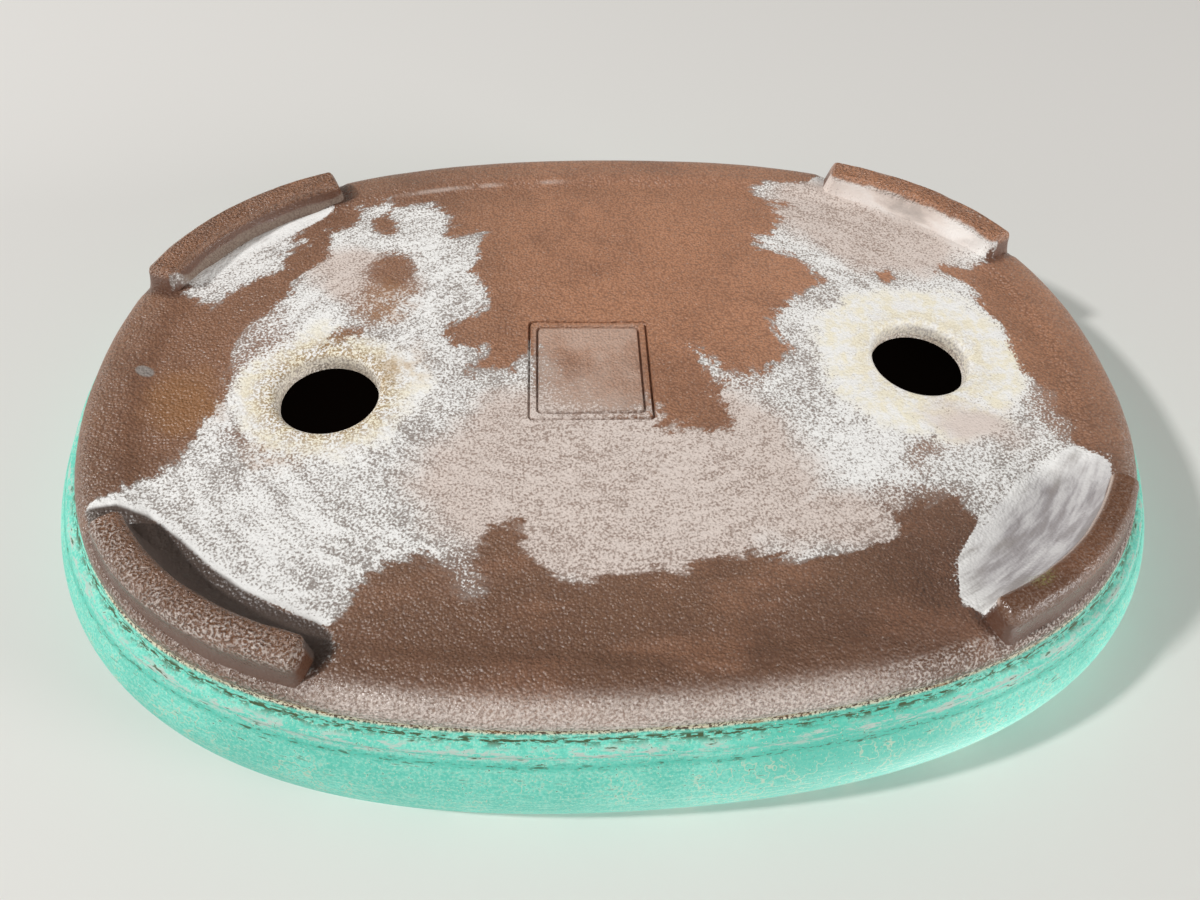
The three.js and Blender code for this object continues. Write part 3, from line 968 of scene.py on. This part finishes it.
def foot_material():
    """Fired clay of the feet: leathery where they stand, smooth in the scoop and the groove, with painted
    shade, shadow and glints.
    """
    colour = colours()
    material, board, shader = fresh_material("rubbed_clay")
    place = board.place()
    _, along, height = board.parts(place)
    grain = board.group(clay_grain_group())
    edge, hollow = board.mark("from_edge"), board.mark("hollow")
    crust = board.group(crust_group(), Inside=board.mark("crust"), Hollow=hollow)
    front_left, front_right, back_left, back_right = (
        corner_mask(board, place, name.endswith("right"), name.startswith("back")) for name in FEET
    )
    # Painted shade: a foot's sides darken from 1.8 mm above its standing face to where it meets the
    # floor.
    side = board.ease(height, 1.8 * MM, 3.6 * MM)
    brown = board.coat(
        clay_colour(board, colour, grain, place),
        (board.ease(along, 10 * MM, -50 * MM, 0.0, 0.16), colour.dark_clay_and_shade),
        (board.times(side, 0.8), colour.dark_clay_and_shade),
    )
    inside = board.ease(edge, 8.6 * MM, 10.0 * MM)
    wavy = board.add(board.noise(place, 120.0, 3.0), 4 * MM, height)
    wavy = board.add(back_right, -3.4 * MM, board.add(back_left, 0.5 * MM, wavy))
    scoop = board.times(board.ease(wavy, 3.6 * MM, 4.6 * MM), inside)
    # Grey film mixed with dark clay, darkened as painted shade for the back right foot's scooped side.
    film_and_shade = board.blend(board.ease(grain["Speck"], 0.42, 0.62, 0.0, 0.45), colour.film_and_shade, colour.dark_clay_and_shade)
    # In the scoop of the front right foot the crust gives way to painted shadow, and in that of the back
    # right foot to a grey film darkened as painted shade.
    soil = board.coat(
        crusted_colour(board, colour, grain, crust, brown, place, hollow),
        (front_right, colour.hollow_shade),
        (back_right, film_and_shade),
    )
    line = board.times(board.band(height, 1.4 * MM, 0.5 * MM, 0.4 * MM), inside)
    streak = board.noise(place, 1.0, 3.0, 0.6, (160.0, 160.0, 500.0))
    # Pale streaks along the back left foot's outer ridge: partly wear, partly painted glints.
    worn = board.times(
        board.ease(streak, 0.58, 0.64),
        board.ease(height, 2.6 * MM, 0.8 * MM),
        board.ease(edge, 8.0 * MM, 6.0 * MM),
        back_left,
        0.75,
    )
    # Painted glints: pale flecks along the rounded outer part of the standing face, most on the front
    # right foot.
    painted_glints = board.times(
        board.ease(height, 4.5 * MM, 2.0 * MM),
        board.ease(edge, 12.0 * MM, 6.5 * MM),
        board.add(front_right, 0.7, 0.15),
        grain["Glint"],
    )
    tuft = board.ease(patch_field(board, place, TUFT), -0.5, 2.0)
    base = board.coat(
        brown,
        (scoop, soil),
        (board.times(line, board.add(front_left, 0.75, 0.1)), colour.pale_wear_and_glint),
        (worn, colour.pale_wear_and_glint),
        (painted_glints, colour.haze),
        (board.times(tuft, board.ease(grain["Speck"], 0.45, 0.6), 0.7), colour.moss),
    )
    board.feed(shader.inputs["Base Color"], base)
    gloss = board.ease(along, -40 * MM, 40 * MM, 0.25, 0.36)
    board.feed(shader.inputs["Roughness"], board.add(scoop, 0.45, gloss))
    shader.inputs["Specular IOR Level"].default_value = CLAY_SPECULAR
    smooth = board.most(board.times(side, 0.85), board.times(front_left, 0.75))
    give_bump(board, shader, board.times(grain["Leather"], board.less(1.0, smooth)), 1.4 * MM)
    return material


def inner_material():
    """Plain fired clay inside the pot."""
    colour = colours()
    material, board, shader = fresh_material("inner_clay")
    grain = board.group(clay_grain_group())
    brown = board.coat(
        colour.inner_clay,
        (board.ease(grain["Blotch"], 0.3, 0.7), colour.front_clay),
        (board.times(grain["Pits"], 0.4), colour.dark_clay_and_shade),
    )
    board.feed(shader.inputs["Base Color"], brown)
    shader.inputs["Roughness"].default_value = 0.8
    shader.inputs["Specular IOR Level"].default_value = 0.25
    give_bump(board, shader, grain["Height"], 0.3 * MM)
    return material


def glaze_material():
    """Turquoise glaze: crazed on the belly, worn on the ridge, dashed and pooled in the grooves, with a
    painted shadow on the front of the belly.
    """
    colour = colours()
    material, board, shader = fresh_material("turquoise_glaze")
    place = board.place()
    height = board.parts(place)[2]
    streak = board.noise(place, 1.0, 3.0, 0.6, (150.0, 150.0, 1300.0))
    thread = board.noise(place, 1.0, 4.0, 0.65, (380.0, 380.0, 2200.0))
    cloud = board.noise(place, 38.0, 4.0, 0.55)
    fine = board.noise(place, 1300.0, 2.0, 0.6)
    grit = board.noise(place, 2100.0, 1.0)
    level = board.less(board.add(board.noise(place, 60.0, 3.0), 1.2 * MM, height), 0.6 * MM)
    # Thin pale lines and scuffs wander over the belly.
    vein = board.math("ABSOLUTE", board.less(board.noise(place, 190.0, 2.0, 0.6), 0.5))
    vein = board.times(
        board.ease(vein, 0.022, 0.004),
        board.ease(cloud, 0.42, 0.56, 0.0, 0.55),
        board.ease(height, 20 * MM, 23 * MM),
    )
    scuff = board.times(board.ease(streak, 0.54, 0.68), board.ease(height, 21 * MM, 40 * MM, 0.2, 0.75))
    # The ridge is worn grey, with a pooled groove on either side.
    ridge = board.band(level, RIDGE_CROWN, 1.2 * MM, 0.5 * MM)
    rubbed = board.times(ridge, board.ease(board.math("ADD", streak, thread), 0.96, 1.14))
    upper = board.band(level, UPPER_GROOVE, 0.6 * MM, 0.7 * MM)
    lower = board.band(level, LOWER_GROOVE, 0.7 * MM, 0.5 * MM)
    dash = board.times(lower, board.ease(thread, 0.47, 0.54))
    more = (
        board.times(upper, board.ease(thread, 0.54, 0.6, 0.0, 0.8)),
        board.times(board.ease(streak, 0.64, 0.7), board.ease(height, 30 * MM, 20 * MM, 0.25, 0.9)),
        board.times(board.ease(patch_field(board, place, STAIN), -0.2, 0.2), lower),
    )
    for each in more:
        dash = board.most(dash, each)
    rim = board.coat(
        colour.dark_clay_and_shade,
        (board.ease(fine, 0.43, 0.53), colour.glaze_edge),
        (board.ease(streak, 0.55, 0.65, 0.0, 0.6), colour.rust),
    )
    body = board.coat(
        colour.deep_glaze_and_shade,
        (board.ease(cloud, 0.3, 0.7, 0.3, 1.0), colour.glaze),
        (board.ease(fine, 0.45, 0.7, 0.0, 0.5), colour.pale_glaze),
        (board.ease(fine, 0.52, 0.34, 0.0, 0.45), colour.deep_glaze_and_shade),
        (board.ease(streak, 0.46, 0.34, 0.0, 0.4), colour.deep_glaze_and_shade),
        # Painted shadow on the front left of the belly, in the deep glaze colour.
        (board.ease(patch_field(board, place, GLAZE_SHADOW), -6.0, 8.0, 0.0, 0.7), colour.deep_glaze_and_shade),
        (vein, colour.glaze_edge),
        (scuff, colour.pale_glaze),
        (board.ease(grit, 0.66, 0.74, 0.0, 0.7), colour.glaze_edge),
        (rubbed, colour.rubbed_glaze),
        (board.times(upper, 0.75), colour.deep_glaze_and_shade),
        (dash, colour.glaze_speck),
        (board.ease(fine, 0.66, 0.74, 0.0, 0.8), colour.glaze_speck),
        (board.band(level, GLAZE_END, 1.0 * MM, 0.4 * MM), rim),
    )
    board.feed(shader.inputs["Base Color"], body)
    board.feed(shader.inputs["Roughness"], board.ease(cloud, 0.3, 0.7, 0.55, 0.68))
    shader.inputs["Specular IOR Level"].default_value = 0.3
    give_bump(board, shader, board.add(thread, 0.5, board.times(fine, 0.4)), 0.35 * MM)
    return material


# Operators, one for each piece or group of like pieces.
class POT_OT_floor(bpy.types.Operator):
    """Model the floor slab: edge round, dished panel, hollows, drain holes and pressed square"""

    bl_idname = "pot.floor"
    bl_label = "Floor"

    def execute(self, context):
        size = sizes()
        outline = outline_points()
        oval_path("fired_floor")
        bpy.ops.object.convert(target="MESH")
        piece = bpy.context.object
        seam = FLOOR_LOW.z + size.edge_round
        mesh_edit(piece, "SELECT")
        bpy.ops.mesh.edge_face_add()
        bpy.ops.transform.translate(value=(0.0, 0.0, seam))
        bpy.ops.mesh.normals_make_consistent(inside=False)
        set_mode("OBJECT")
        if piece.data.polygons[0].normal.z > 0:
            set_mode("EDIT")
            bpy.ops.mesh.flip_normals()
        set_mode("EDIT")
        for width, drop in self.rings(size):
            bpy.ops.mesh.inset(thickness=width, depth=drop)
        bpy.ops.mesh.delete(type="ONLY_FACE")
        self.fill_inner_loop(piece, outline)
        self.scoop_hollows(piece)
        self.press_grooves(piece, outline)
        self.close_top(piece, seam)
        ripple(piece, 30 * MM, 0.5 * MM)
        for place in DRAINS:
            cut_out(piece, self.drain_cutter(place))
        for side in (size.square, size.square - 2 * size.square_band):
            cut_out(piece, self.square_cutter(side))
        mark_surface(piece, outline)
        inside = from_edge(places(piece), outline)
        hand_over(piece, "floor_slab", "clay", underside_material(), inner_material(), glaze_material())
        for face in piece.data.polygons:
            if face.center.z > FLOOR_HIGH.z - 0.6 * MM and face.normal.z > 0.5:
                face.material_index = 1
            elif face.center.z > seam and inside[face.vertices[0]] < 1 * MM:
                face.material_index = 2
        return {"FINISHED"}

    def rings(self, size):
        """Steps inwards from the outline: how wide each is and how far it drops."""
        steps = []
        last = (0.0, 0.0)
        turns = 8
        for i in range(1, turns + 1):
            angle = math.pi / 2 * i / turns
            now = (size.edge_round * (1 - math.cos(angle)), size.edge_round * math.sin(angle))
            steps.append((now[0] - last[0], now[1] - last[1]))
            last = now
        flat = size.border - size.edge_round
        steps += [(flat / 4, 0.0)] * 4
        rises = [0.5 - 0.5 * math.cos(math.pi * i / 5) for i in range(6)]
        for before, after in zip(rises, rises[1:]):
            steps.append((size.border_slope / 5, -size.dish * (after - before)))
        return steps + [(2.0 * MM, 0.0)] * 10

    def fill_inner_loop(self, piece, outline):
        """Fills the open loop around the middle of the panel with a grid of faces."""
        mesh_edit(piece)
        bpy.ops.mesh.select_mode(type="EDGE")
        bpy.ops.mesh.select_non_manifold()
        set_mode("OBJECT")
        outer = from_edge(places(piece), outline) < 1 * MM
        for edge in piece.data.edges:
            if outer[edge.vertices[0]]:
                edge.select = False
        set_mode("EDIT")
        bpy.ops.mesh.fill_grid(span=sizes().steps)
        set_mode("OBJECT")

    def scoop_hollows(self, piece):
        """Presses the clay in behind each foot."""
        for hollow in HOLLOWS:
            pick(piece, within(places(piece), hollow) > 5.0 * MM)
            bpy.ops.transform.translate(
                value=(0.0, 0.0, sizes().hollow),
                use_proportional_edit=True,
                proportional_edit_falloff="SMOOTH",
                proportional_size=8.0 * MM,
            )
            set_mode("OBJECT")

    def press_grooves(self, piece, outline):
        """Presses a shallow groove around each foot."""
        rows = places(piece)
        along, inside = beside_outline(rows, outline)
        near = eased(1 - from_feet(along, inside, outline_quarter(outline)) / (3 * MM))
        kept = np.clip(inside / (1.5 * MM), 0.0, 1.0)
        rows[:, 2] += sizes().groove * near * kept
        piece.data.vertices.foreach_set("co", rows.ravel())

    def close_top(self, piece, seam):
        """Carries the outer edge up to the wall and fills the top."""
        rows = places(piece)
        pick(piece, rows[:, 2] > seam - 0.01 * MM)
        extrude_up(FLOOR_HIGH.z - seam)
        bpy.ops.mesh.fill_grid(span=sizes().steps)
        set_mode("OBJECT")
        close_up(piece)

    def drain_cutter(self, place):
        """Shape of the clay taken out for a drain hole, with a flare for its rounded lip."""
        size = sizes()
        radius = size.drain / 2
        panel = FLOOR_LOW.z + size.dish
        top = FLOOR_HIGH.z + 3 * MM
        low = panel + size.drain_flare
        clear_selection()
        bpy.ops.mesh.primitive_cylinder_add(
            vertices=64, radius=radius, depth=top - low, location=(*place, (top + low) / 2)
        )
        cutter = bpy.context.object
        settle()
        pick(cutter, places(cutter)[:, 2] < low + 0.01 * MM)
        now = radius
        turns = 6
        for i in range(1, turns + 1):
            angle = math.pi / 2 * i / turns
            wider = radius + size.drain_lip * (1 - math.cos(angle))
            drop = size.drain_flare * (math.sin(angle) - math.sin(math.pi / 2 * (i - 1) / turns))
            extrude_up(-drop)
            bpy.ops.transform.resize(value=(wider / now, wider / now, 1.0), center_override=(*place, 0.0))
            now = wider
        extrude_up(-4 * MM)
        set_mode("OBJECT")
        close_up(cutter)
        return cutter

    def square_cutter(self, side):
        """Square frame with round corners and slanting sides, for the pressed line."""
        size = sizes()
        panel = FLOOR_LOW.z + size.dish
        deep = 2 * MM
        clear_selection()
        bpy.ops.mesh.primitive_plane_add(
            size=side + 0.6 * MM, location=(*SQUARE_PLACE, panel - deep)
        )
        cutter = bpy.context.object
        settle()
        mesh_edit(cutter, "SELECT")
        bpy.ops.transform.resize(
            value=(1.0, 1.0 + size.square_tall / side, 1.0), center_override=(*SQUARE_PLACE, 0.0)
        )
        bpy.ops.mesh.bevel(offset=2.0 * MM, segments=5, affect="VERTICES")
        bpy.ops.mesh.select_mode(type="FACE")
        select_all()
        bpy.ops.mesh.inset(thickness=size.square_line)
        bpy.ops.mesh.delete(type="FACE")
        select_all()
        extrude_up(deep)
        for width, rise in ((0.2, 0.3), (0.15, 0.45), (0.15, 0.25)):
            bpy.ops.mesh.inset(thickness=width * MM, depth=rise * size.square_depth)
        select_all()
        bpy.ops.transform.rotate(
            value=-SQUARE_TURN, orient_axis="Z", center_override=(*SQUARE_PLACE, 0.0)
        )
        set_mode("OBJECT")
        close_up(cutter)
        return cutter


class POT_OT_wall(bpy.types.Operator):
    """Model the side wall, with a cove where it meets the floor inside"""

    bl_idname = "pot.wall"
    bl_label = "Side wall"

    def execute(self, context):
        size = sizes()
        low = FLOOR_HIGH.z - OVERLAP
        high = WALL_HIGH.z + SHORT_OVERLAP
        cove = 5.0 * MM
        outer = wall_points(low, high, 20, 0.0)
        inner = wall_points(low + cove, high, 16, -size.wall)
        foot = inner[0][0]
        bend = arc((foot - cove, low + cove), cove, 0, -90, 6)[1:]
        piece = swept_piece("fired_wall", outer + inner[::-1] + bend)
        hand_over(piece, "side_wall", "clay", inner_material(), glaze_material())
        for face in piece.data.polygons:
            outward = face.normal.x * face.center.x + face.normal.y * face.center.y
            face.material_index = 1 if outward > 0 else 0
        return {"FINISHED"}


class POT_OT_ridge(bpy.types.Operator):
    """Model the raised band around the foot of the wall"""

    bl_idname = "pot.ridge"
    bl_label = "Base ridge"

    def execute(self, context):
        low, high = RIDGE_LOW.z - SHORT_OVERLAP, RIDGE_HIGH.z + SHORT_OVERLAP
        bed = wall_points(low, high, 10, -0.4 * MM)
        proud = 1.9 * MM
        crown = []
        for i, (offset, height) in enumerate(bed):
            crown.append((offset + proud * math.sin(math.pi * i / 10), height))
        piece = swept_piece("glazed_ridge", crown + bed[-2:0:-1])
        ripple(piece, 18 * MM, 0.35 * MM)
        hand_over(piece, "base_ridge", "glaze", glaze_material())
        return {"FINISHED"}


class POT_OT_rim(bpy.types.Operator):
    """Model the rim lip"""

    bl_idname = "pot.rim"
    bl_label = "Rim lip"

    def execute(self, context):
        low = RIM_LOW.z - OVERLAP
        chamfer = 0.8 * MM
        section = [(wall_face(low), low)] + rim_round(6)
        inner = section[-1][0]
        section += [(inner, low + chamfer), (inner + chamfer, low)]
        piece = swept_piece("fired_rim", section)
        hand_over(piece, "rim_lip", "clay", inner_material())
        return {"FINISHED"}


class POT_OT_glaze(bpy.types.Operator):
    """Model the glaze coat on the wall and over the rim"""

    bl_idname = "pot.glaze"
    bl_label = "Glaze coat"

    def execute(self, context):
        line = wall_points(GLAZE_LOW.z - OVERLAP, WALL_HIGH.z, 28, 0.0) + rim_round(8)
        line.append((line[-1][0], line[-1][1] - GLAZE_INSIDE))
        under = self.beside(line, GLAZE_UNDER)
        over = self.beside(line, GLAZE_OVER)
        piece = swept_piece("glaze_skin", over + under[::-1])
        hand_over(piece, "glaze_coat", "glaze", glaze_material())
        return {"FINISHED"}

    def beside(self, line, distance):
        """A line moved to its right."""
        moved = []
        for i, (x, y) in enumerate(line):
            before = line[max(i - 1, 0)]
            after = line[min(i + 1, len(line) - 1)]
            run, rise = after[0] - before[0], after[1] - before[1]
            length = math.hypot(run, rise)
            moved.append((x + distance * rise / length, y - distance * run / length))
        return moved


class POT_OT_feet(bpy.types.Operator):
    """Model the four feet: one bar each, rounded and bent along the outline"""

    bl_idname = "pot.feet"
    bl_label = "Feet"

    def execute(self, context):
        outline = outline_points()
        for name in FEET:
            first = foot_start(name, outline_quarter(outline))
            piece = self.bar("foot_bar_" + name, first, *FOOT_RUNS[name][3:])
            path = oval_path("foot_guide")
            use(piece, "CURVE", object=path, deform_axis="POS_X")
            bpy.data.objects.remove(path)
            close_up(piece)
            ripple(piece, 9 * MM, 0.5 * MM)
            pick(piece, places(piece)[:, 2] < 0.2 * MM)
            bpy.ops.transform.resize(value=(1.0, 1.0, 0.0), center_override=ORIGIN)
            set_mode("OBJECT")
            mark_surface(piece, outline)
            hand_over(piece, "foot_" + name, "clay", foot_material())
        return {"FINISHED"}

    def bar(self, name, first, length, outer, inner, steep):
        """Straight bar at its place along the path, rounded, scooped inside and flared outside."""
        size = sizes()
        panel = FLOOR_LOW.z + size.dish + size.hollow
        high = panel + 1.5 * MM
        width = inner - outer
        clear_selection()
        bpy.ops.mesh.primitive_cube_add(size=1.0)
        piece = bpy.context.object
        piece.name = name
        mesh_edit(piece, "SELECT")
        bpy.ops.transform.resize(value=(length, width, high), center_override=ORIGIN)
        bpy.ops.transform.translate(value=(first + length / 2, -outer - width / 2, high / 2))
        set_mode("OBJECT")
        self.weigh_edges(piece, high, length, -outer - width / 2)
        use(piece, "BEVEL", limit_method="WEIGHT", width=size.foot_round, segments=6)
        self.divide(piece, lambda run: run.z > high / 2, 14)
        self.divide(piece, lambda run: run.x > length / 2, 70)
        # The inner side is scooped out to the panel, which runs out towards the ends.
        rows = places(piece)
        share = np.clip(rows[:, 2] / panel, 0.0, 1.0)
        aside = np.clip((-rows[:, 1] - outer) / width, 0.0, 1.0)
        from_end = np.minimum(rows[:, 0] - first, first + length - rows[:, 0])
        taper = 0.15 + 0.85 * eased((from_end - 1 * MM) / (16 * MM))
        scoop = size.scoop * (1 - (1 - share**steep) ** (1 / steep))
        rows[:, 1] -= scoop * taper * aside**3
        rows[:, 1] += size.foot_flare * share**3 * (1 - aside) ** 3
        # The ends lean in towards the standing face.
        lean = np.clip(1 - from_end / (9 * MM), 0.0, 1.0) ** 2 * (1 - share)
        towards = np.where(rows[:, 0] < first + length / 2, 1.0, -1.0)
        rows[:, 0] += towards * lean * size.foot_lean
        piece.data.vertices.foreach_set("co", rows.ravel())
        piece.data.update()
        return piece

    def weigh_edges(self, piece, high, length, middle):
        """Marks how much each edge of the bar is rounded: the outer long one most."""
        weights = piece.data.attributes.new("bevel_weight_edge", "FLOAT", "EDGE")
        for edge in piece.data.edges:
            first, last = (piece.data.vertices[i].co for i in edge.vertices)
            if abs(first.z - last.z) > high / 2:
                weights.data[edge.index].value = 0.75
            elif first.z < high / 2:
                outside = abs(first.x - last.x) > length / 2 and first.y > middle
                weights.data[edge.index].value = 1.0 if outside else 0.5

    def divide(self, piece, chosen, cuts):
        """Cuts the edges that a test of their run picks out."""
        mesh_edit(piece)
        bpy.ops.mesh.select_mode(type="EDGE")
        set_mode("OBJECT")
        for edge in piece.data.edges:
            first, last = (piece.data.vertices[i].co for i in edge.vertices)
            edge.select = bool(chosen(Vector(abs(part) for part in last - first)))
        set_mode("EDIT")
        bpy.ops.mesh.subdivide(number_cuts=cuts)
        set_mode("OBJECT")


class POT_OT_stage(bpy.types.Operator):
    """Set the pale floor, the even light, the lamps and the camera"""

    bl_idname = "pot.stage"
    bl_label = "Stage"

    def execute(self, context):
        stage = context.scene.pot_stage
        self.backdrop("stage_floor", 0.0, False, stage)
        self.backdrop("stage_table", CAD_BOX[1].z, True, stage)
        self.world(stage)
        for name, direction, width, light in LAMPS:
            self.lamp(name, direction, width, getattr(stage, light))
        self.camera()
        context.scene.view_settings.view_transform = "Standard"
        return {"FINISHED"}

    def backdrop(self, name, level, from_below, stage):
        """Pale plane that is seen from one side only and lets the lamps through."""
        clear_selection()
        bpy.ops.mesh.primitive_plane_add(size=6.0, location=(0.0, 0.0, level))
        plane = bpy.context.object
        plane.name = name
        settle()
        if from_below:
            mesh_edit(plane, "SELECT")
            bpy.ops.mesh.flip_normals()
            set_mode("OBJECT")
        material, board, shader = fresh_material(name)
        colour = stage.backdrop
        if from_below:
            # Painted shade: a near-black patch under the pot, seen from below through the drain holes.
            under = patch_field(board, board.place(), (("under the pot", 0, 0, 146, 102, 0),))
            colour = board.blend(board.ease(under, -1.0, 1.0), colour, (0.01, 0.01, 0.01))
        board.feed(shader.inputs["Base Color"], colour)
        shader.inputs["Roughness"].default_value = 1.0
        shader.inputs["Specular IOR Level"].default_value = 0.0
        clear = board.node("ShaderNodeBsdfTransparent")
        away = board.ease(board.length(board.place()), 0.5, 1.1)
        share = board.most(board.node("ShaderNodeNewGeometry").outputs["Backfacing"], away)
        given = {0: share, 1: shader.outputs[0], 2: clear.outputs[0]}
        mix = board.node("ShaderNodeMixShader", given)
        board.feed(material.node_tree.nodes["Material Output"].inputs["Surface"], mix.outputs[0])
        plane.data.materials.append(material)
        plane.visible_shadow = False
        plane.visible_diffuse = False

    def world(self, stage):
        world = bpy.data.worlds.new("even_light")
        bpy.context.scene.world = world
        world.use_nodes = True
        board = Board(world.node_tree)
        board.tree.nodes.clear()
        path = board.node("ShaderNodeLightPath")
        seen = board.math("ADD", path.outputs["Is Camera Ray"], path.outputs["Is Glossy Ray"])
        seen = board.math("ADD", seen, path.outputs["Is Transmission Ray"], clamp=True)
        light = board.node("ShaderNodeBackground", {"Color": (1.0, 0.98, 0.96), "Strength": stage.even})
        pale = board.node("ShaderNodeBackground", {"Color": stage.backdrop})
        mix = board.node("ShaderNodeMixShader", {0: seen, 1: light.outputs[0], 2: pale.outputs[0]})
        board.node("ShaderNodeOutputWorld", {"Surface": mix.outputs[0]})

    def lamp(self, name, direction, width, strength):
        """Round soft lamp that faces the pot from a direction."""
        clear_selection()
        aim = Vector(direction).normalized()
        bpy.ops.object.light_add(type="AREA", location=aim * LAMP_DISTANCE)
        lamp = bpy.context.object
        lamp.name = name
        lamp.rotation_mode = "QUATERNION"
        lamp.rotation_quaternion = aim.to_track_quat("Z", "Y")
        lamp.data.shape = "DISK"
        lamp.data.size = width
        lamp.data.energy = strength * (math.pi * LAMP_DISTANCE) ** 2

    def camera(self):
        """Camera at the photograph's viewing angle, below the pot."""
        clear_selection()
        bpy.ops.object.camera_add()
        camera = bpy.context.object
        turn = Matrix((CAMERA_RIGHT, CAMERA_UP, CAMERA_BACK)).transposed().to_4x4()
        camera.matrix_world = Matrix.Translation(CAMERA_PLACE) @ turn
        camera.data.sensor_width = CAMERA_FILM
        camera.data.lens = CAMERA_LENS
        camera.data.clip_start = 0.01
        bpy.context.scene.camera = camera


class POT_PT_panel(bpy.types.Panel):
    """Lists the pot's pieces in the sidebar"""

    bl_idname = "POT_PT_panel"
    bl_label = "Oval Bonsai Pot"
    bl_space_type = "VIEW_3D"
    bl_region_type = "UI"
    bl_category = "Pot"

    def draw(self, context):
        for name in ("floor", "wall", "ridge", "rim", "glaze", "feet", "stage"):
            self.layout.operator("pot." + name)


CLASSES = (
    PotSizes,
    PotColours,
    PotStage,
    POT_OT_floor,
    POT_OT_wall,
    POT_OT_ridge,
    POT_OT_rim,
    POT_OT_glaze,
    POT_OT_feet,
    POT_OT_stage,
    POT_PT_panel,
)


def register():
    for each in CLASSES:
        bpy.utils.register_class(each)
    bpy.types.Scene.pot_sizes = bpy.props.PointerProperty(type=PotSizes)
    bpy.types.Scene.pot_colours = bpy.props.PointerProperty(type=PotColours)
    bpy.types.Scene.pot_stage = bpy.props.PointerProperty(type=PotStage)


def unregister():
    del bpy.types.Scene.pot_stage
    del bpy.types.Scene.pot_colours
    del bpy.types.Scene.pot_sizes
    for each in reversed(CLASSES):
        bpy.utils.unregister_class(each)


def main():
    register()
    bpy.ops.pot.floor()
    bpy.ops.pot.wall()
    bpy.ops.pot.ridge()
    bpy.ops.pot.rim()
    bpy.ops.pot.glaze()
    bpy.ops.pot.feet()
    bpy.ops.pot.stage()


if __name__ == "__main__":
    main()
